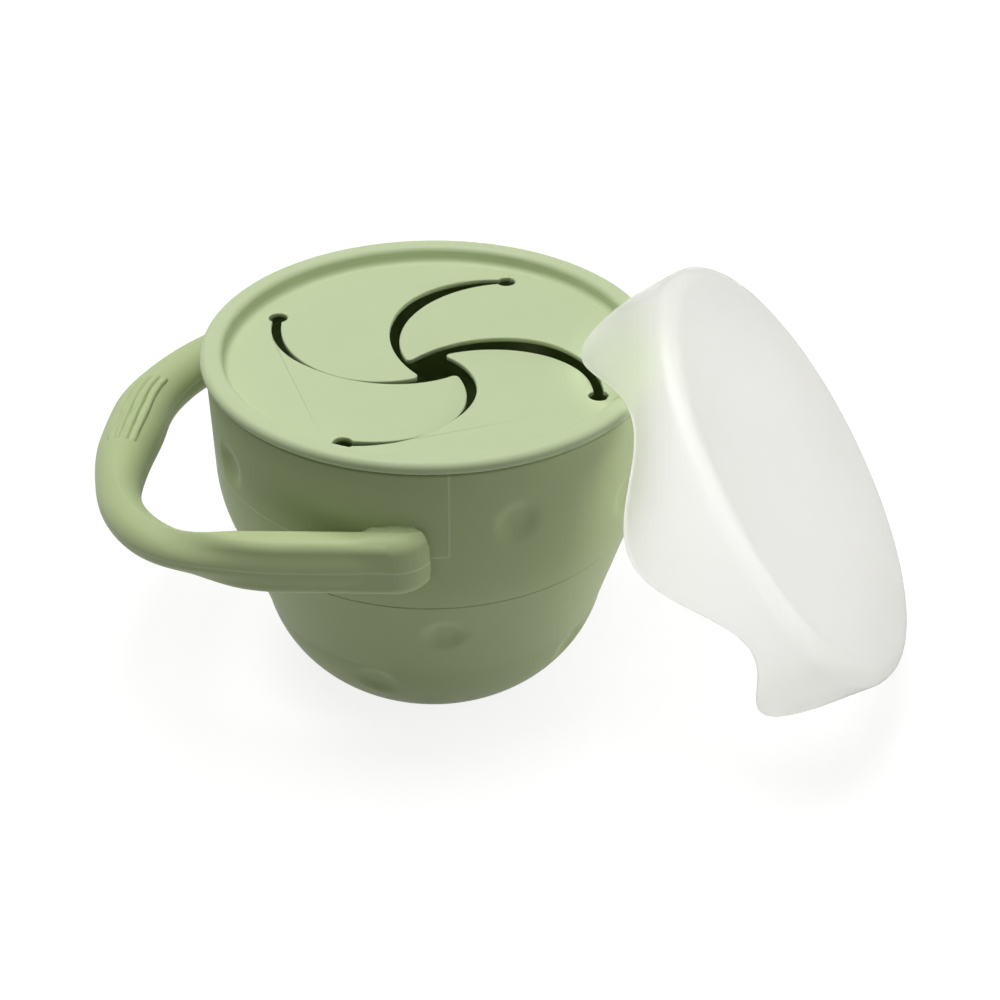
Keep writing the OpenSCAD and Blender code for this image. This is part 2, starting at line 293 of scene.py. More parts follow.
def ramp(tree: bpy.types.NodeTree, value: Any, start: Point2, end: Point2) -> bpy.types.NodeSocket:
    """Map a value that runs between the start and end places to the start and end levels.

    Args:
        tree: node tree that gets the node.
        value: socket to map.
        start: place and level at one end.
        end: place and level at the other end.

    Returns:
        The mapped value.
    """
    inputs = {0: value, 1: start[0], 2: end[0], 3: start[1], 4: end[1]}
    return add_node(tree, "ShaderNodeMapRange", None, inputs).outputs[0]


def mixed(tree: bpy.types.NodeTree, share: Any, low: Any, high: Any) -> bpy.types.NodeSocket:
    """Add one colour mix and give its result."""
    inputs = {0: share, 6: low, 7: high}
    return add_node(tree, "ShaderNodeMix", {"data_type": "RGBA"}, inputs).outputs[2]


def noise(
    tree: bpy.types.NodeTree, place: bpy.types.NodeSocket, size_mm: float, detail: float
) -> bpy.types.NodeSocket:
    """Add a noise whose cells have a size in millimetres and give its value."""
    inputs = {"Vector": place, "Scale": 1 / (size_mm * MM), "Detail": detail}
    return add_node(tree, "ShaderNodeTexNoise", None, inputs).outputs[0]


def bump(
    tree: bpy.types.NodeTree, height: Any, strength: float, depth_mm: float, **more: Any
) -> bpy.types.NodeSocket:
    """Add a bump with a depth in millimetres and give the new normal."""
    inputs = {"Strength": strength, "Distance": depth_mm * MM, "Height": height, **more}
    return add_node(tree, "ShaderNodeBump", None, inputs).outputs[0]


def blank_material(name: str) -> bpy.types.Material:
    """Give a new material with an empty node tree.

    Args:
        name: name of the real material and its finish.

    Returns:
        The material.
    """
    material = bpy.data.materials.new(name)
    material.use_nodes = True
    material.node_tree.nodes.clear()
    return material


# Finishes


@dataclass(frozen=True)
class SiliconeFinish:
    """Pressed food-grade silicone: opaque, matte, with a soft sheen and a cloudy tint."""

    name: str
    tint: str
    deep_tint: str
    parting: bool = False
    roughness: Point2 = (0.48, 0.57)
    ior: float = 1.41
    gloss: float = 0.4
    cloud_mm: float = 14.0
    cloud_detail: float = 3.0
    grain_mm: float = 0.55
    grain_detail: float = 2.0
    grain_depth_mm: float = 0.012
    grain_strength: float = 0.5
    glow_share: float = 0.12
    glow_mm: float = 1.6
    glow_colour: Point3 = (1.0, 1.0, 0.6)
    sheen: float = 0.08
    sheen_roughness: float = 0.5
    # The mould's parting line: level with the belly and the drooping handle, then upright.
    # Along the line the tint is mixed towards a paler green: a painted highlight for the light that
    # the raised line catches.
    line_highlight_tint: str = "#DCE6C8"
    line_highlight_share: float = 0.42
    line_mm: float = 0.36
    line_core: float = 0.35
    line_depth_mm: float = 0.06
    line_strength: float = 0.6
    line_x_mm: float = 5.1
    belly_mm: float = 54.0
    pivot_mm: float = -11.0
    droop: float = 3.3
    wall_mm: float = 47.3

    def parting_mask(
        self, tree: bpy.types.NodeTree, place: bpy.types.NodeSocket
    ) -> bpy.types.NodeSocket:
        """Build the mask of the mould's parting line.

        Args:
            tree: node tree of the material.
            place: object coordinates, in metres.

        Returns:
            A socket that is 1 on the line and 0 away from it.
        """
        split = add_node(tree, "ShaderNodeSeparateXYZ", None, {0: place}).outputs
        x, y, z = split[0], split[1], split[2]
        squares = maths(tree, "ADD", maths(tree, "MULTIPLY", x, x), maths(tree, "MULTIPLY", y, y))
        outside = maths(tree, "GREATER_THAN", maths(tree, "SQRT", squares), self.wall_mm * MM)
        behind = maths(tree, "MINIMUM", maths(tree, "SUBTRACT", x, self.pivot_mm * MM), 0.0)
        fall = maths(tree, "MULTIPLY", behind, math.sin(math.radians(self.droop)))
        rise = maths(tree, "SUBTRACT", z, self.belly_mm * MM)
        level = maths(tree, "SUBTRACT", rise, maths(tree, "MULTIPLY", fall, outside))
        upright = maths(tree, "SUBTRACT", x, self.line_x_mm * MM)
        handle_side = maths(tree, "LESS_THAN", x, self.line_x_mm * MM)
        above = maths(tree, "GREATER_THAN", z, self.belly_mm * MM)
        core = self.line_core * self.line_mm * MM
        parts = []
        for distance, where in ((level, handle_side), (upright, above)):
            away = maths(tree, "ABSOLUTE", distance)
            near = add_node(
                tree,
                "ShaderNodeMapRange",
                {"interpolation_type": "SMOOTHSTEP"},
                {0: away, 1: core, 2: self.line_mm * MM, 3: 1.0, 4: 0.0},
            ).outputs[0]
            parts.append(maths(tree, "MULTIPLY", near, where))
        return maths(tree, "MAXIMUM", *parts)

    def build(self) -> bpy.types.Material:
        """Build the material.

        Returns:
            The finished material.
        """
        material = blank_material(self.name)
        tree = material.node_tree
        place = add_node(tree, "ShaderNodeTexCoord").outputs["Object"]
        clouds = noise(tree, place, self.cloud_mm, self.cloud_detail)
        grain = noise(tree, place, self.grain_mm, self.grain_detail)
        tint = mixed(tree, clouds, linear(self.deep_tint), linear(self.tint))
        normal = bump(tree, grain, self.grain_strength, self.grain_depth_mm)
        if self.parting:
            mask = self.parting_mask(tree, place)
            normal = bump(tree, mask, self.line_strength, self.line_depth_mm, Normal=normal)
            # Painted highlight: the parting line is bumped up as a real ridge and is also mixed
            # towards a paler tint where it catches the light.
            share = maths(tree, "MULTIPLY", mask, self.line_highlight_share)
            tint = mixed(tree, share, tint, linear(self.line_highlight_tint))
        low, high = self.roughness
        shader = add_node(
            tree,
            "ShaderNodeBsdfPrincipled",
            {"subsurface_method": "RANDOM_WALK"},
            {
                "Base Color": tint,
                "Roughness": ramp(tree, clouds, (0.0, low), (1.0, high)),
                "IOR": self.ior,
                "Specular IOR Level": self.gloss,
                "Subsurface Weight": self.glow_share,
                "Subsurface Radius": self.glow_colour,
                "Subsurface Scale": self.glow_mm * MM,
                "Sheen Weight": self.sheen,
                "Sheen Roughness": self.sheen_roughness,
                "Normal": normal,
            },
        )
        add_node(tree, "ShaderNodeOutputMaterial", None, {0: shader.outputs[0]})
        return material


@dataclass(frozen=True)
class MilkyFilmFinish:
    """Injection-moulded polyethylene: thin, milky and satin, so light glows through it."""

    name: str
    tint: str = "#FFFFFE"
    deep_tint: str = "#FEFDF9"
    roughness: float = 0.5
    ior: float = 1.4
    clear_share: float = 0.9
    cloud_mm: float = 22.0
    grain_mm: float = 0.9
    grain_depth_mm: float = 0.012
    grain_strength: float = 0.4
    detail: float = 2.0

    def build(self) -> bpy.types.Material:
        """Build the material.

        Returns:
            The finished material.
        """
        material = blank_material(self.name)
        tree = material.node_tree
        place = add_node(tree, "ShaderNodeTexCoord").outputs["Object"]
        clouds = noise(tree, place, self.cloud_mm, self.detail)
        grain = noise(tree, place, self.grain_mm, self.detail)
        shader = add_node(
            tree,
            "ShaderNodeBsdfPrincipled",
            None,
            {
                "Base Color": mixed(tree, clouds, linear(self.deep_tint), linear(self.tint)),
                "Roughness": self.roughness,
                "IOR": self.ior,
                "Transmission Weight": self.clear_share,
                "Normal": bump(tree, grain, self.grain_strength, self.grain_depth_mm),
            },
        )
        add_node(tree, "ShaderNodeOutputMaterial", None, {0: shader.outputs[0]})
        return material


# The cup


@dataclass
class SoftCup:
    """Cup moulding: upper wall, folding band and bowl. Sizes in millimetres."""

    finish: bpy.types.Material
    # The upper wall is upright above its shoulder and curves in below it.
    wall_r: float = 46.1
    wall_t: float = 2.4
    wall_top_z: float = 72.6
    wall_lip: float = 0.5
    shoulder_z: float = 50.0
    shoulder_r: float = 33.0
    belly_z: float = 54.0
    # The band runs from the upper crease to the fold line above the bowl.
    crease_z: float = 40.6
    groove: float = 0.5
    fold_z: float = 17.6
    fold_r: float = 38.0
    fold_t: float = 1.6
    fold_step: float = 0.2
    fold_lap: float = 0.4
    fold_tuck: float = 1.0
    # The bowl's side is an arc round (centre, curve_z), and its floor is flat.
    bowl_curve_r: float = 28.3
    bowl_curve_z: float = 21.9
    bowl_t: float = 2.4
    floor_t: float = 3.0
    floor_corner: Point2 = (1.4, 0.8)
    foot_r: float = 1.4
    # Dimples are given by their azimuth in degrees and their height.
    dimple_r: float = 5.4
    dimple_flat: float = 0.3
    dimple_depth: float = 0.95
    dimples_round: int = 5
    fold_dimples: Point2 = (-84.6, 31.1)
    bowl_dimples: Point2 = (-107.2, 13.0)
    wall_dimples: tuple[Point2, ...] = (
        (-67, 60),
        (-30, 53),
        (7, 60),
        (44, 53),
        (80, 60),
        (148, 60),
        (180, 53),
        (-148, 60),
    )
    steps_round: int = 432
    rows: int = 54
    lip_steps: int = 5
    base_rows: int = 16
    foot_steps: int = 6
    bowl_rows: int = 34
    inner_rows: int = 20
    floor_rows: int = 12
    sharp: float = 50.0
    foot_sharp: float = 60.0

    def wall_at(self, z: np.ndarray) -> np.ndarray:
        """Give the wall's outer radius at each height.

        Args:
            z: heights above the base.

        Returns:
            The radii.
        """
        drop = np.minimum(0, z - self.shoulder_z)
        rest = np.sqrt(np.maximum(self.shoulder_r**2 - drop**2, 1.0))
        return self.wall_r - self.shoulder_r + rest

    def wall_r_at(self, z: float) -> float:
        """Give the wall's outer radius at one height."""
        return float(self.wall_at(np.array(z)))

    def dimple_ring(self, reach: float, first: Point2) -> list[Vector]:
        """List the middles of a level ring of dimples.

        Args:
            reach: distance of the middles from the axis.
            first: azimuth and height of the first dimple.

        Returns:
            The middles.
        """
        turns = [first[0] + 360 / self.dimples_round * i for i in range(self.dimples_round)]
        return [Vector((*polar(reach, turn), first[1])) for turn in turns]

    def dent(self, bm: bmesh.types.BMesh, places: Sequence[Vector]) -> None:
        """Press soft round dimples into the outside of a mesh.

        Args:
            bm: mesh in millimetres.
            places: middles of the dimples.
        """
        bm.normal_update()
        flat_r, near_axis = self.dimple_flat * self.dimple_r, 1.0
        moves = []
        for vert in bm.verts:
            outward = Vector((vert.co.x, vert.co.y, 0))
            if outward.length < near_axis or vert.normal.dot(outward) <= 0:
                continue
            away = min((vert.co - place).length for place in places)
            if away < self.dimple_r:
                share = 1 - float(smoothstep(flat_r, self.dimple_r, np.array(away)))
                moves.append((vert, vert.normal * (self.dimple_depth * share)))
        for vert, move in moves:
            vert.co -= move

    def make_wall(self) -> bpy.types.Object:
        """Build the upper wall, with a rounded lip at its top and at the upper crease.

        Returns:
            The piece.
        """
        lip, steps = self.wall_lip, self.lip_steps
        top, low = self.wall_top_z - lip, self.crease_z + lip
        inner_r = self.wall_r - self.wall_t
        low_r = self.wall_r_at(low) - lip
        outer = [(self.wall_r_at(z), float(z)) for z in np.linspace(low, top, self.rows)]
        section = outer + arc((self.wall_r - lip, top), lip, 0, 90, steps)[1:]
        section += arc((inner_r + lip, top), lip, 90, 180, steps)
        section += [(r - self.wall_t, z) for r, z in reversed(outer)][1:-1:3]
        section += [(low_r + lip - self.wall_t, self.crease_z)]
        section += arc((low_r, low), lip, -90, 0, steps)[:-1]
        bm = spun(section, self.steps_round)
        places = self.wall_dimples
        self.dent(bm, [Vector((*polar(self.wall_r_at(z), turn), z)) for turn, z in places])
        piece = new_object("cup_upper_wall", bm, self.finish, self.sharp)
        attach(piece, "cup_upper")
        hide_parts("upper_wall")
        return piece

    def make_band(self) -> bpy.types.Object:
        """Build the thin band between the two creases, which rolls when the cup folds.

        Returns:
            The piece.
        """
        top_r = self.wall_r_at(self.crease_z) - self.fold_step
        slope = (top_r - self.fold_r) / (self.crease_z - self.fold_z)
        low = (self.fold_r - self.fold_lap * slope, self.fold_z - self.fold_lap)
        shoulder = (top_r - self.groove * slope, self.crease_z - self.groove)
        neck_r, tuck_z = top_r - self.groove, self.crease_z + self.fold_tuck
        outer = line(low, shoulder, self.rows) + [shoulder, (neck_r, self.crease_z)]
        inner = [(r - self.fold_t, z) for r, z in reversed(outer[:-1])]
        tuck = [(neck_r, tuck_z), (neck_r - self.fold_t, tuck_z)]
        bm = spun(outer + tuck + inner, self.steps_round)
        reach = self.fold_r + (self.fold_dimples[1] - self.fold_z) * slope
        self.dent(bm, self.dimple_ring(reach, self.fold_dimples))
        piece = new_object("cup_folding_band", bm, self.finish, self.sharp)
        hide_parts("fold_wall")
        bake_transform(piece)
        return piece

    def make_bowl(self) -> bpy.types.Object:
        """Build the bowl with its rounded foot and flat base.

        Returns:
            The piece.
        """
        curve, foot, curve_z = self.bowl_curve_r, self.foot_r, self.bowl_curve_z
        drop = curve_z - self.fold_z
        centre = (self.fold_r - math.sqrt(curve**2 - drop**2), curve_z)
        # The foot's arc touches the base and the side's curve from inside.
        foot_x = centre[0] + math.sqrt((curve - foot) ** 2 - (curve_z - foot) ** 2)
        meet = math.degrees(math.atan2(foot - curve_z, foot_x - centre[0]))
        top = math.degrees(math.asin((self.fold_lap - drop) / curve))
        inner_r = curve - self.bowl_t
        corner_w, corner_h = self.floor_corner
        floor = math.degrees(math.asin((self.floor_t + corner_h - curve_z) / inner_r))
        section = line((0.0, 0.0), (foot_x, 0.0), self.base_rows)
        section += arc((foot_x, foot), foot, -90, meet, self.foot_steps)[:-1]
        section += arc(centre, curve, meet, top, self.bowl_rows)
        section += [(self.fold_r - self.fold_t, self.fold_z + self.fold_lap)]
        section += arc(centre, inner_r, top, floor, self.inner_rows)
        floor_edge, floor_middle = (section[-1][0] - corner_w, self.floor_t), (0.0, self.floor_t)
        section += line(floor_edge, floor_middle, self.floor_rows) + [floor_middle]
        bm = spun(section, self.steps_round, closed=False)
        reach = centre[0] + math.sqrt(curve**2 - (curve_z - self.bowl_dimples[1]) ** 2)
        self.dent(bm, self.dimple_ring(reach, self.bowl_dimples))
        piece = new_object("cup_bowl", bm, self.finish, self.foot_sharp)
        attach(piece, "cup_base")
        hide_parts("bottom_bowl")
        return piece

    def build(self) -> list[bpy.types.Object]:
        """Build every piece of the cup.

        Returns:
            The pieces.
        """
        handle = CarryHandle(self)
        pieces = [self.make_wall(), handle.build(), self.make_band(), self.make_bowl()]
        return pieces


# The handle


@dataclass
class CarryHandle:
    """Side handle of the cup moulding, shaped by distances from its faces. Sizes in millimetres.

    Its own frame is the cup's frame before the handle droops, with Z = 0 at its middle height.
    """

    cup: SoftCup
    # The loop's outline from above: its outer and inner face at the arms and at the grip.
    outer_y: float = 49.5
    inner_y: float = 43.6
    outer_x: float = 69.2
    inner_x: float = 60.0
    outer_corner: float = 43.7
    inner_corners: Point2 = (21.5, 37.0)
    # The arms run closer together towards the grip.
    taper: float = 0.07
    taper_x: float = -30.0
    taper_fade: float = 20.0
    # The arms are a tall strap with a bulged face.
    strap_h: float = 12.3
    strap_edge: float = 2.2
    strap_core: float = 3.0
    strap_span: Point2 = (-59.0, -33.0)
    # The corners and the grip are a round tube, slimmer at the front corner.
    tube_h: float = 10.0
    tube_edge: float = 4.2
    tube_r: float = 5.0
    tube_shift: float = 0.6
    tube_melt: float = 2.4
    slim_span: Point2 = (10.0, -30.0)
    slim_shift: float = 1.3
    slim_r: float = 0.8
    grip_swell: float = 1.2
    grip_half_len: float = 27.0
    rib_angles: tuple[float, ...] = (-18.5, -2.0, 14.5, 31.0)
    rib_span: Point2 = (-9.7, 14.5)
    rib_r: float = 0.68
    rib_rise: float = 0.75
    rib_melt: float = 0.15
    # The boss is a blunt block that grows out of the strap and melts into the wall.
    boss_span: Point2 = (-14.0, -6.0)
    boss_end_x: float = 2.3
    boss_corner: float = 8.0
    boss_h: float = 13.5
    boss_edge: float = 3.3
    wall_gap: float = 0.5
    joined_span: Point2 = (-12.5, -9.5)
    sunk: float = 1.6
    fillet: float = 1.5
    loose_fillet: float = 0.2
    skin_sink: float = 0.04
    hidden_share: float = 0.7
    # The whole handle droops about a level line through its roots.
    pivot_x: float = -11.0
    droop: float = 3.3
    # The core is the route that the skin's rings are carried along.
    grip_step: float = 0.5
    corner_steps: int = 70
    arm_step: float = 0.8
    turn_steps: int = 40
    turn_centre: Point2 = (-8.0, 42.0)
    turn_end: float = 12.0
    search: Point3 = (-4.0, 14.0, 0.1)
    ring_points: int = 144
    ray_step: float = 0.4
    ray_reach: float = 12.0
    halvings: int = 12
    slope_step: float = 0.03

    def to_own(self, points: np.ndarray) -> np.ndarray:
        """Turn places in the cup's frame into the handle's own frame.

        Args:
            points: places in the cup's frame.

        Returns:
            The places in the handle's own frame.
        """
        a = math.radians(self.droop)
        x = points[:, 0] - self.pivot_x
        z = points[:, 2] - self.cup.belly_z
        across = x * math.cos(a) + z * math.sin(a) + self.pivot_x
        return np.stack([across, points[:, 1], z * math.cos(a) - x * math.sin(a)], axis=-1)

    def own_frame(self) -> Matrix:
        """Place the handle's own frame in the cup's frame.

        Returns:
            The matrix that turns places in the handle's own frame into the cup's frame.
        """
        pivot = Matrix.Translation((self.pivot_x, 0, self.cup.belly_z))
        turn = Matrix.Rotation(math.radians(-self.droop), 4, "Y")
        return pivot @ turn @ Matrix.Translation((-self.pivot_x, 0, 0))

    def loop_sides(self, x: np.ndarray, y: np.ndarray) -> tuple[np.ndarray, np.ndarray]:
        """Give the distances from the loop's outer and inner outline, seen from above.

        Args:
            x: places along the cup's X axis.
            y: places along the cup's Y axis.

        Returns:
            The two distances, each negative inside its outline.
        """
        fade = np.clip(np.abs(y) / self.taper_fade, 0, 1)
        side = np.abs(y) - self.taper * (x - self.taper_x) * fade
        outer = rounded(-self.outer_x - x, side - self.outer_y, self.outer_corner)
        front, back = self.inner_corners
        inner = rounded(-self.inner_x - x, side - self.inner_y, np.where(y > 0, back, front))
        return outer, inner

    def loop_distance(self, local: np.ndarray) -> np.ndarray:
        """Give the distance from the loop: a tall strap that turns into a round, ribbed grip.

        Args:
            local: places in the handle's own frame.

        Returns:
            The distances, negative inside the loop.
        """
        x, y, z = local.T
        outer, inner = self.loop_sides(x, y)
        flat = smoothstep(*self.strap_span, x)
        height = self.tube_h + (self.strap_h - self.tube_h) * flat
        edge = self.tube_edge + (self.strap_edge - self.tube_edge) * flat
        strap = rounded(np.maximum(outer, -inner), np.abs(z) - height / 2, edge)
        swell = self.grip_swell * (1 - smoothstep(0, self.grip_half_len, np.abs(y)))
        # The front corner is slimmer, and its tube sits closer to the outer face.
        slim = smoothstep(*self.slim_span, y)
        round_r = self.tube_r + swell - self.slim_r * slim
        # Towards the boss the core sinks into the strap, so that both end in one plain face.
        strap_r = self.strap_core - self.tube_melt * smoothstep(*self.boss_span, x)
        radius = round_r + (strap_r - round_r) * flat
        shift = (self.tube_shift - self.slim_shift * slim) * (1 - flat)
        across = (outer + inner) / 2 + shift
        loop = melt(strap, np.hypot(across, z) - radius, self.tube_melt)
        loop = np.maximum(loop, x - self.boss_span[1])
        rib_reach = radius - self.rib_r + self.rib_rise
        end = y - np.clip(y, *self.rib_span)
        for angle in np.radians(self.rib_angles):
            rib_x, rib_z = across + rib_reach * math.sin(angle), z - rib_reach * math.cos(angle)
            rib = np.sqrt(rib_x**2 + rib_z**2 + end**2) - self.rib_r
            loop = melt(loop, rib, self.rib_melt)
        return loop

    def boss_distance(self, local: np.ndarray) -> np.ndarray:
        """Give the distance from the blunt bosses by which the strap meets the wall.

        Args:
            local: places in the handle's own frame.

        Returns:
            The distances, negative inside a boss.
        """
        x, y, z = local[:, 0], np.abs(local[:, 1]), np.abs(local[:, 2])
        side = y - self.taper * (x - self.taper_x)
        plan = rounded(x - self.boss_end_x, side - self.outer_y, self.boss_corner)
        plan = np.maximum(np.maximum(plan, self.inner_y - side), self.boss_span[0] - x)
        growth = smoothstep(*self.boss_span, x)
        half = (self.strap_h + (self.boss_h - self.strap_h) * growth) / 2
        edge = self.strap_edge + (self.boss_edge - self.strap_edge) * growth
        return rounded(plan, z - half, edge)

    def distance(self, points: np.ndarray) -> np.ndarray:
        """Give the distance from the handle's skin, which runs onto the wall in a fillet.

        Args:
            points: places in the cup's frame.

        Returns:
            The distances, negative inside the handle or the cup.
        """
        local = self.to_own(points)
        handle = np.minimum(self.loop_distance(local), self.boss_distance(local))
        x = points[:, 0]
        wall = np.hypot(x, points[:, 1]) - self.cup.wall_at(points[:, 2]) + self.skin_sink
        # A narrow gap parts the strap from the wall up to the boss.
        joined = smoothstep(*self.joined_span, x)
        handle = np.maximum(handle, self.wall_gap - (self.wall_gap + self.sunk) * joined - wall)
        width = self.fillet * (self.loose_fillet + (1 - self.loose_fillet) * joined)
        # Behind the wall's face the skin closes in, so that it is hidden at once.
        return np.where(wall > 0, melt(wall, handle, width), handle - width - wall)

    def core(self, side: int) -> list[Point3]:
        """Trace the core of one half of the handle, seen from above.

        Args:
            side: -1 for the front half, 1 for the back half.

        Returns:
            X, Y and outward heading in degrees, from the middle of the grip into the wall.
        """
        radius = self.inner_corners[0]
        corner = (radius - self.inner_x, self.inner_y - radius)
        along_grip = np.arange(0, corner[1], self.grip_step)
        along_arm = np.arange(corner[0], self.turn_centre[0], self.arm_step)[1:]
        inside = [(-self.inner_x, float(y), 180.0) for y in along_grip]
        for degrees in np.linspace(180, 90, self.corner_steps):
            step = polar(radius, degrees)
            inside.append((corner[0] + step.x, corner[1] + step.y, degrees))
        inside += [(float(x), self.inner_y, 90.0) for x in along_arm]
        half = []
        reach = np.arange(*self.search)
        # Each point moves outwards to where the loop is deepest.
        for x, y, degrees in inside:
            heading = polar(1.0, degrees)
            across, along = x + reach * heading.x, y + reach * heading.y
            outer, inner = self.loop_sides(across, side * along)
            deepest = int(np.argmin(np.maximum(outer, -inner)))
            half.append((float(across[deepest]), side * float(along[deepest]), side * degrees))
        turn_r = abs(half[-1][1]) - self.turn_centre[1]
        for degrees in np.linspace(90, self.turn_end, self.turn_steps)[1:]:
            step = polar(turn_r, degrees)
            place = (self.turn_centre[0] + step.x, side * (self.turn_centre[1] + step.y))
            half.append((*place, side * degrees))
        return half

    def stations(self) -> list[Matrix]:
        """List frames along the core of the handle: X across, Y up, Z along.

        Returns:
            The frames, from the front boss round the grip to the back boss.
        """
        route = self.core(-1)[::-1] + self.core(1)[1:]
        frames = []
        for x, y, degrees in route:
            turn = Matrix.Rotation(math.radians(degrees), 4, "Z")
            along = turn @ Matrix.Rotation(math.pi / 2, 4, "X")
            frames.append(self.own_frame() @ Matrix.Translation((x, y, 0)) @ along)
        return frames

    def reach_skin(self, middle: np.ndarray, rays: np.ndarray) -> np.ndarray:
        """Follow rays from the handle's core to its skin.

        Args:
            middle: starting points inside the handle.
            rays: unit directions.

        Returns:
            The points where the rays leave the handle, or points hidden inside the wall.
        """
        low, high = np.zeros(len(rays)), np.full(len(rays), self.ray_reach)
        found = np.zeros(len(rays), bool)
        for reach in np.arange(self.ray_step, self.ray_reach, self.ray_step):
            outside = self.distance(middle + rays * reach) > 0
            fresh = outside & ~found
            high[fresh] = reach
            low[fresh] = reach - self.ray_step
            found |= outside
        low[~found] = high[~found]
        for _ in range(self.halvings):
            half = (low + high) / 2
            outside = self.distance(middle + rays * half[:, None]) > 0
            high = np.where(outside, half, high)
            low = np.where(outside, low, half)
        points = middle + rays * ((low + high) / 2)[:, None]
        r = np.hypot(points[:, 0], points[:, 1])
        hidden_r = self.cup.wall_at(points[:, 2]) - self.cup.wall_t * self.hidden_share
        points[:, :2] *= (np.maximum(r, hidden_r) / r)[:, None]
        return points

    def slope(self, points: np.ndarray) -> np.ndarray:
        """Give the outward direction of the handle's skin at each point.

        Args:
            points: places on the skin, in the cup's frame.

        Returns:
            Unit directions.
        """
        steps = self.slope_step * np.eye(3)
        rises = [self.distance(points + step) - self.distance(points - step) for step in steps]
        outward = np.stack(rises, axis=-1)
        return outward / np.maximum(np.linalg.norm(outward, axis=1), 1e-9)[:, None]

    def build(self) -> bpy.types.Object:
        """Build the handle by carrying a ring along its core and out to its skin.

        Returns:
            The piece.
        """
        frames = self.stations()
        bm = bmesh.new()
        ring = bmesh.ops.create_circle(bm, segments=self.ring_points, radius=1.0)["verts"]
        bmesh.ops.transform(bm, matrix=frames[0], verts=ring)
        centres = [frames[0].translation] * len(ring)
        edges = list(bm.edges)
        for last, following in zip(frames, frames[1:]):
            grown = bmesh.ops.extrude_edge_only(bm, edges=edges)["geom"]
            ring = [g for g in grown if isinstance(g, bmesh.types.BMVert)]
            new = set(ring)
            grown_edges = [g for g in grown if isinstance(g, bmesh.types.BMEdge)]
            edges = [edge for edge in grown_edges if set(edge.verts) <= new]
            bmesh.ops.transform(bm, matrix=following @ last.inverted(), verts=ring)
            centres += [following.translation] * len(ring)
        middle = np.array(centres)
        rays = np.array([v.co for v in bm.verts]) - middle
        rays /= np.linalg.norm(rays, axis=1)[:, None]
        points = self.reach_skin(middle, rays)
        for vert, place in zip(bm.verts, points):
            vert.co = place
        bmesh.ops.holes_fill(bm, edges=[e for e in bm.edges if e.is_boundary], sides=0)
        bmesh.ops.recalc_face_normals(bm, faces=bm.faces)
        piece = new_object("cup_handle", bm, self.cup.finish)
        piece.data.normals_split_custom_set_from_vertices(self.slope(points).tolist())
        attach(piece, "cup_upper")
        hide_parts("carry_handle")
        return piece


# The lid


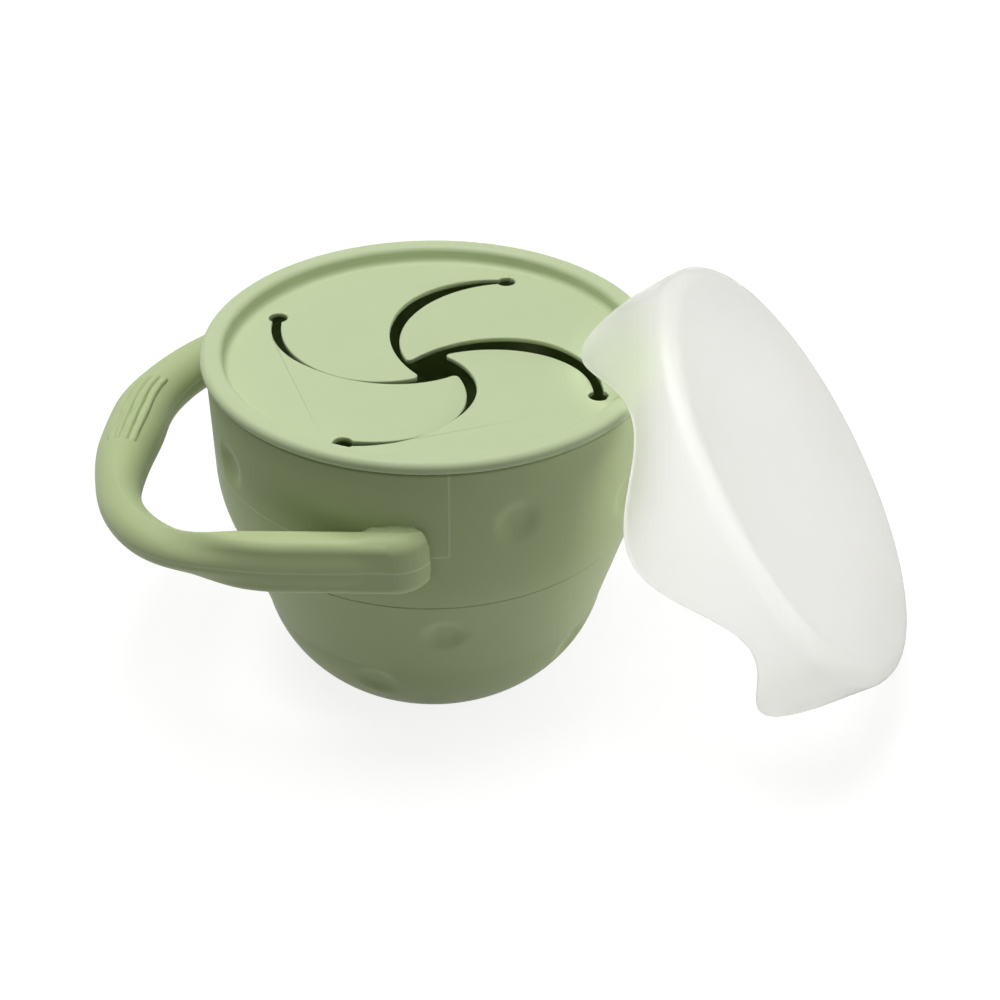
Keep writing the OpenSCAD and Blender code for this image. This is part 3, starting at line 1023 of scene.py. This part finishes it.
@dataclass
class PetalLid:
    """Lid moulding: rolled rim, dished top in four sectors, plug. Sizes in millimetres."""

    finish: bpy.types.Material
    # The rim is a flat bead with round edges, and its inner side falls to the film in a fillet.
    rim_r: float = 47.0
    rim_inner_r: float = 42.6
    rim_under_z: float = 72.9
    rim_top_z: float = 75.7
    rim_edge: float = 1.35
    dish_fillet: float = 1.6
    dish_end: float = -4.0
    film_top_z: float = 71.7
    film_t: float = 1.2
    film_r: float = 41.0
    # The plug hangs under the rim and grips the cup's wall.
    plug_r: float = 43.4
    plug_t: float = 2.0
    plug_low_z: float = 66.4
    plug_neck: float = 0.3
    plug_top_gap: float = 0.5
    plug_edges: Point2 = (0.8, 0.6)
    plug_chamfer: float = 0.4
    # Four slits curve from round holes near the rim to the middle.
    sectors: int = 4
    hole_reach: float = 37.0
    hole_r: float = 2.0
    first_hole: float = 65.7
    slit_r: float = 22.0
    slit_w: float = 2.0
    slit_reach: float = 17.9
    slit_edge: float = 0.28
    slit_edge_steps: int = 3
    tip_r: float = 1.0
    # Each petal bends over a short living hinge and falls a little towards the middle.
    hinge_reach: float = 25.41
    hinge_half: float = 2.0
    shade_half: float = 6.0
    droops: tuple[float, ...] = (4.2, 6.3, 5.6, 5.6)
    # Cuts across a sector, as first, last and step: closer together at the hinge.
    cuts: tuple[Point3, ...] = ((-14, 20, 2.0), (20, 31, 0.5), (34, 42, 4.0))
    steps_round: int = 288
    bead_steps: int = 12
    neck_steps: int = 3
    plug_rows: int = 4
    plug_edge_steps: tuple[int, int] = (6, 5)
    outside_steps: int = 60
    slit_steps: int = 56
    hole_steps: tuple[int, int] = (22, 8)
    tip_steps: int = 8
    sharp: float = 50.0

    def make_rim(self) -> bpy.types.Object:
        """Build the rim, the dish's fillet and the plug as one spun ring.

        Returns:
            The piece.
        """
        edge, neck, steps = self.rim_edge, self.plug_neck, self.bead_steps
        top, under, low = self.rim_top_z, self.rim_under_z, self.plug_low_z
        outer_edge, inner_edge = self.plug_edges
        outer_steps, inner_steps = self.plug_edge_steps
        inner_r = self.plug_r - self.plug_t
        bottom = self.film_top_z - self.film_t
        dish = (self.film_r, self.film_top_z + self.dish_fillet)
        plug_top = (self.plug_r, under - self.plug_top_gap)
        section = arc(dish, self.dish_fillet, -90, self.dish_end, steps)
        section += arc((self.rim_inner_r + edge, top - edge), edge, 180, 90, steps)
        section += arc((self.rim_r - edge, top - edge), edge, 90, 0, steps)
        section += arc((self.rim_r - edge, under + edge), edge, 0, -90, steps)
        section += [(self.plug_r + neck, under)]
        section += arc((self.plug_r + neck, under - neck), neck, 90, 180, self.neck_steps)
        section += line(plug_top, (self.plug_r, low + outer_edge), self.plug_rows)
        section += arc((self.plug_r - outer_edge, low + outer_edge), outer_edge, 0, -90, outer_steps)
        section += arc((inner_r + inner_edge, low + inner_edge), inner_edge, -90, -180, inner_steps)
        section += [(inner_r, bottom - self.plug_chamfer), (self.film_r, bottom)]
        bm = spun(section, self.steps_round)
        piece = new_object("lid_rim_and_plug", bm, self.finish, self.sharp)
        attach(piece, "lid")
        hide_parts("lid_rim")
        return piece

    def sector_outline(self) -> list[Vector]:
        """Trace one sector of the dished top, between the slit that ends on +X and the next.

        Returns:
            The outline's points, counter-clockwise.
        """
        reach, tip_r = self.hole_reach, self.tip_r
        # Each slit's arc passes the middle of its hole at the same reach, turned by 90 degrees.
        centre_x = (reach**2 + self.slit_reach**2 - self.slit_r**2) / (2 * reach)
        near = Vector((centre_x, -math.sqrt(self.slit_reach**2 - centre_x**2)))
        far = Vector((-near.y, near.x))
        outer = self.slit_r + self.slit_w / 2
        inner = self.slit_r - self.slit_w / 2
        # The tip's circle touches the near slit from outside and the far one from inside.
        gap = far - near
        span = gap.length
        from_near, from_far = outer + tip_r, inner - tip_r
        along = (from_near * from_near - from_far * from_far + span * span) / (2 * span)
        side = math.sqrt(from_near * from_near - along * along)
        unit = gap / span
        tip = near + unit * along + Vector((-unit.y, unit.x)) * side
        near_hole, far_hole = Vector((reach, 0)), Vector((0, reach))
        half = math.sqrt(self.hole_r**2 - (self.slit_w / 2) ** 2)
        away = (far_hole - far).normalized()
        leave_far = far_hole - away * (self.slit_w / 2) + Vector((-away.y, away.x)) * half
        away = (near_hole - near).normalized()
        leave_near = near_hole + away * (self.slit_w / 2) + Vector((-away.y, away.x)) * half
        touch_far = tip - (far - tip).normalized() * tip_r
        touch_near = tip + (near - tip).normalized() * tip_r
        low, high = heading_of(tip, touch_far), heading_of(tip, touch_near)
        if high < low:
            high += 360
        far_steps, near_steps = self.hole_steps
        points = arc((0, 0), self.film_r, 0, 90, self.outside_steps)
        points += arc(far_hole, self.hole_r, 90, heading_of(far_hole, leave_far), far_steps)
        start, end = heading_of(far, leave_far), heading_of(far, touch_far) % 360
        points += arc(far, inner, start, end, self.slit_steps)[1:]
        points += arc(tip, tip_r, low, high, self.tip_steps)[1:-1]
        start, end = heading_of(near, touch_near) % 360, heading_of(near, leave_near)
        points += arc(near, outer, start, end, self.slit_steps)
        start = heading_of(near_hole, leave_near)
        points += arc(near_hole, self.hole_r, start, 0, near_steps)[1:]
        return [Vector(p) for p in points]

    def even_top(self, mesh: bpy.types.Mesh, heading: Vector, slope: float) -> None:
        """Shade a petal's two broad faces by their true bend, so that no strip shows.

        Args:
            mesh: the petal's mesh, in metres.
            heading: direction from the lid's middle to the petal's hinge.
            slope: fall of the petal towards the lid's middle.
        """
        level, steep = 0.97, 0.4
        normals = [Vector(n.vector) for n in mesh.corner_normals]
        broad = set()
        for face in mesh.polygons:
            if abs(face.normal.z) > level:
                broad.update(face.vertices)
        for face in mesh.polygons:
            if abs(face.normal.z) < steep:
                continue
            side = math.copysign(1.0, face.normal.z)
            for corner in face.loop_indices:
                vertex = mesh.loops[corner].vertex_index
                if vertex not in broad:
                    continue
                inward = self.hinge_reach - mesh.vertices[vertex].co.xy.dot(heading) / MM
                share = float(smoothstep(-self.shade_half, self.shade_half, np.array(inward)))
                tilt = Vector((-heading.x, -heading.y, 0)) * (slope * share)
                normals[corner] = (Vector((0, 0, 1)) + tilt).normalized() * side
        mesh.normals_split_custom_set([tuple(n) for n in normals])

    def slit_rims(self, bm: bmesh.types.BMesh) -> list[bmesh.types.BMEdge]:
        """List a sector's level sharp edges, apart from those where it joins the rim.

        Args:
            bm: the sector's mesh, in millimetres.

        Returns:
            The edges along the slits and their holes.
        """
        farthest = self.hole_reach + self.hole_r - TINY_MM / 2
        rims = []
        for edge in bm.edges:
            if len(edge.link_faces) != 2 or edge.calc_face_angle(0) < CORNER:
                continue
            flat = abs(edge.verts[0].co.z - edge.verts[1].co.z) < TINY_MM
            if flat and all(v.co.xy.length < farthest for v in edge.verts):
                rims.append(edge)
        return rims

    def make_sector(self, index: int) -> bpy.types.Object:
        """Build one sector of the dished top: a fixed edge, a living hinge and a petal.

        Args:
            index: number of the sector, from 0.

        Returns:
            The piece, its petal bent softly down over the hinge.
        """
        bm = bmesh.new()
        outline = [bm.verts.new((*p, self.film_top_z)) for p in self.sector_outline()]
        face = bm.faces.new(outline)
        if face.normal.z < 0:
            bmesh.ops.reverse_faces(bm, faces=[face])
        direction = Vector((1, 1, 0)).normalized()
        for reach in np.concatenate([np.arange(*cut) for cut in self.cuts]):
            bmesh.ops.bisect_plane(
                bm,
                geom=list(bm.verts) + list(bm.edges) + list(bm.faces),
                plane_co=direction * reach,
                plane_no=direction,
            )
        grown = bmesh.ops.extrude_face_region(bm, geom=list(bm.faces))["geom"]
        sunk = [g for g in grown if isinstance(g, bmesh.types.BMVert)]
        bmesh.ops.translate(bm, verts=sunk, vec=(0, 0, -self.film_t))
        bmesh.ops.recalc_face_normals(bm, faces=bm.faces)
        round_edges(bm, self.slit_rims(bm), self.slit_edge, self.slit_edge_steps)
        slope = math.tan(math.radians(self.droops[index]))
        for vert in bm.verts:
            inward = self.hinge_reach - vert.co.dot(direction)
            if inward > self.hinge_half:
                vert.co.z -= inward * slope
            elif inward > -self.hinge_half:
                vert.co.z -= (inward + self.hinge_half) ** 2 / (4 * self.hinge_half) * slope
        turn = self.first_hole + 360 / self.sectors * index
        spin = Matrix.Rotation(math.radians(turn), 3, "Z")
        bmesh.ops.rotate(bm, verts=bm.verts, cent=(0, 0, 0), matrix=spin)
        piece = new_object(f"lid_petal_{index + 1}", bm, self.finish, self.sharp)
        heading = polar(1.0, turn + 180 / self.sectors)
        self.even_top(piece.data, heading, slope)
        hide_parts(f"petal_{index + 1}")
        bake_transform(piece)
        return piece

    def build(self) -> list[bpy.types.Object]:
        """Build every piece of the lid.

        Returns:
            The pieces.
        """
        pieces = [self.make_rim()] + [self.make_sector(i) for i in range(self.sectors)]
        return pieces


# The dust cover


@dataclass
class DustCover:
    """Thin moulded cover with a wavy skirt, leaning on the rim. Sizes in millimetres."""

    finish: bpy.types.Material
    radius: float = 47.98
    thickness: float = 0.8
    fillet: float = 3.8
    skirt: float = 17.0
    wave: float = 5.3
    lobes: int = 6
    lip_edge: float = 0.25
    # How the cover leans: turned by spin about its own axis, then tipped, then turned by heading.
    spin: float = 5.7
    rise: float = 37.8703
    heading: float = -11.8
    place: Point3 = (77.3127, -8.8, 51.4389)
    steps_round: int = 300
    face_rows: int = 12
    fillet_steps: int = 10
    skirt_rows: int = 16
    lip_steps: int = 2
    first_row: float = 0.5
    lips_below: float = 2.0
    sharp: float = 50.0

    def skirt_at(self, angle: float) -> float:
        """Give the skirt's depth at an angle in radians."""
        return self.skirt + self.wave * math.cos(self.lobes * angle)

    def shell(self) -> bmesh.types.BMesh:
        """Build the cover's shell, face up, with the middle of its face at the origin.

        Returns:
            The closed mesh, in millimetres.
        """
        edge_r, deepest = self.radius - self.fillet, self.skirt + self.wave
        skirt_top, skirt_foot = (self.radius, -self.fillet - self.first_row), (self.radius, -deepest)
        section = line((0.0, 0.0), (edge_r, 0.0), self.face_rows)
        section += arc((edge_r, -self.fillet), self.fillet, 90, 0, self.fillet_steps)
        section += line(skirt_top, skirt_foot, self.skirt_rows) + [skirt_foot]
        bm = spun(section, self.steps_round, closed=False)
        for vert in bm.verts:
            if vert.co.z < -self.fillet - TINY_MM:
                share = (-vert.co.z - self.fillet) / (deepest - self.fillet)
                depth = self.skirt_at(math.atan2(vert.co.y, vert.co.x))
                vert.co.z = -self.fillet - share * (depth - self.fillet)
        if sum(f.normal.z for f in bm.faces) < 0:
            bmesh.ops.reverse_faces(bm, faces=bm.faces)
        bmesh.ops.solidify(bm, geom=list(bm.faces), thickness=self.thickness)
        bmesh.ops.recalc_face_normals(bm, faces=bm.faces)
        low = [e for e in bm.edges if e.verts[0].co.z < -self.fillet - self.lips_below]
        lips = [e for e in low if len(e.link_faces) == 2 and e.calc_face_angle(0) > CORNER]
        round_edges(bm, lips, self.lip_edge, self.lip_steps)
        return bm

    def build(self) -> bpy.types.Object:
        """Build the cover where it leans.

        Returns:
            The piece.
        """
        bm = self.shell()
        lean = (
            Matrix.Translation(self.place)
            @ Matrix.Rotation(math.radians(self.heading), 4, "Z")
            @ Matrix.Rotation(math.radians(90 - self.rise), 4, "Y")
            @ Matrix.Rotation(math.radians(self.spin), 4, "Z")
        )
        bmesh.ops.transform(bm, matrix=lean, verts=bm.verts)
        piece = new_object("dust_cover_shell", bm, self.finish, self.sharp)
        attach(piece, "cover")
        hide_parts("dust_cover")
        return piece


# The studio


@dataclass(frozen=True)
class Softbox:
    """Soft square lamp that looks at the cup. Lengths in metres, power in watts."""

    name: str
    spot: Point3
    size: float
    watts: float
    target: Point3 = (0.01, 0.0, 0.04)

    def place(self) -> None:
        """Place the lamp."""
        data = bpy.data.lights.new(self.name, "AREA")
        data.shape = "SQUARE"
        data.size = self.size
        data.energy = self.watts
        lamp = bpy.data.objects.new(self.name, data)
        bpy.context.collection.objects.link(lamp)
        aim = Vector(self.target) - Vector(self.spot)
        turn = aim.to_track_quat("-Z", "Y").to_matrix().to_4x4()
        lamp.matrix_world = Matrix.Translation(self.spot) @ turn


@dataclass
class Studio:
    """Camera, lights and floor of the product shot. Lengths in millimetres, angles in degrees."""

    eye: Point3 = (14.495, -270.789, 225.61)
    pitch: float = 35.1114
    roll: float = 0.817
    lens: float = 54.0
    sensor: float = 36.0
    clip_start: float = 10.0
    softboxes: tuple[Softbox, ...] = (
        Softbox("top_softbox", (-0.12, 0.02, 0.85), 0.4, 5.7),
        Softbox("side_fill", (0.8, -0.2, 0.35), 0.5, 1.3),
    )
    world_light: float = 0.06
    floor_half: float = 4000.0
    floor_sink: float = 0.2
    paper: str = "#C2C2BF"
    shadow_paper: str = "#828280"
    # The floor glows with the first level up to the first reach, and with the second beyond.
    glow_levels: Point2 = (0.86, 1.0)
    glow_reaches: Point2 = (100.0, 800.0)

    def place_camera(self) -> None:
        """Place the camera where the photograph was taken from."""
        data = bpy.data.cameras.new("product_camera")
        data.lens = self.lens
        data.sensor_width = self.sensor
        data.clip_start = self.clip_start * MM
        camera = bpy.data.objects.new("product_camera", data)
        bpy.context.collection.objects.link(camera)
        camera.matrix_world = (
            Matrix.Translation(Vector(self.eye) * MM)
            @ Matrix.Rotation(math.radians(90 - self.pitch), 4, "X")
            @ Matrix.Rotation(math.radians(self.roll), 4, "Z")
        )
        bpy.context.scene.camera = camera

    def white_for_eye(self, tree: bpy.types.NodeTree) -> bpy.types.NodeSocket:
        """Tell rays from the camera, a gloss or a clear surface from the rest.

        Args:
            tree: node tree that gets the nodes.

        Returns:
            A socket that is 1 for those rays and 0 for the rest.
        """
        path = add_node(tree, "ShaderNodeLightPath").outputs
        both = maths(tree, "MAXIMUM", path["Is Camera Ray"], path["Is Glossy Ray"])
        return maths(tree, "MAXIMUM", both, path["Is Transmission Ray"])

    def light_world(self) -> None:
        """Give the world a plain soft light and a white look."""
        world = bpy.data.worlds.new("studio_world")
        world.use_nodes = True
        bpy.context.scene.world = world
        tree = world.node_tree
        tree.nodes.clear()
        level = ramp(tree, self.white_for_eye(tree), (0.0, self.world_light), (1.0, 1.0))
        light = add_node(tree, "ShaderNodeBackground", None, {0: (1, 1, 1, 1), 1: level})
        add_node(tree, "ShaderNodeOutputWorld", None, {0: light.outputs[0]})

    def lay_floor(self) -> None:
        """Lay a plain pale floor that keeps the object's shadow and fades into the backdrop."""
        bm = bmesh.new()
        bmesh.ops.create_grid(bm, x_segments=2, y_segments=2, size=self.floor_half)
        drop = Matrix.Translation((0, 0, -self.floor_sink))
        bmesh.ops.transform(bm, matrix=drop, verts=bm.verts)
        material = blank_material("matt_white_paper")
        tree = material.node_tree
        # Matt paper: it throws light back at the cup, and the eye sees it white with a soft shadow.
        paper = add_node(tree, "ShaderNodeBsdfDiffuse", None, {0: linear(self.paper)})
        shade = add_node(tree, "ShaderNodeBsdfDiffuse", None, {0: linear(self.shadow_paper)})
        place = add_node(tree, "ShaderNodeTexCoord").outputs["Object"]
        away = add_node(tree, "ShaderNodeVectorMath", {"operation": "LENGTH"}, {0: place})
        ends = [(r * MM, level) for r, level in zip(self.glow_reaches, self.glow_levels)]
        level = ramp(tree, away.outputs["Value"], *ends)
        glow = add_node(tree, "ShaderNodeEmission", None, {0: (1, 1, 1, 1), 1: level})
        both = add_node(tree, "ShaderNodeAddShader", None, {0: shade.outputs[0], 1: glow.outputs[0]})
        inputs = {0: self.white_for_eye(tree), 1: paper.outputs[0], 2: both.outputs[0]}
        seen = add_node(tree, "ShaderNodeMixShader", None, inputs)
        add_node(tree, "ShaderNodeOutputMaterial", None, {0: seen.outputs[0]})
        new_object("studio_floor", bm, material)

    def build(self) -> None:
        """Set up the camera, the lights, the world and the floor."""
        bpy.context.scene.view_settings.view_transform = "Standard"
        self.place_camera()
        for softbox in self.softboxes:
            softbox.place()
        self.light_world()
        self.lay_floor()


def main() -> None:
    """Build the studio and every piece, and report each piece."""
    logging.basicConfig(level=logging.INFO, format="%(name)s: %(message)s")
    Studio().build()
    # Pressed silicone: cloudy sage green with a dull bloom instead of a gloss.
    cup_green = SiliconeFinish("pressed_sage_silicone", "#BCCB98", "#B6C592", parting=True).build()
    # The lid's tint is paler than the cup's: painted light, standing in for the stronger top light
    # and white sheen on the lid's top.
    lid_green = SiliconeFinish("sage_silicone_with_painted_top_light", "#C3D2A8", "#BFCEA3").build()
    # Moulded polyethylene film: milky, satin, light glows through it.
    milky = MilkyFilmFinish("milky_polyethylene").build()
    pieces = SoftCup(cup_green).build()
    pieces += PetalLid(lid_green).build()
    pieces.append(DustCover(milky).build())
    for piece in pieces:
        LOG.info("%s: %d faces", piece.name, len(piece.data.polygons))


if __name__ == "__main__":
    main()
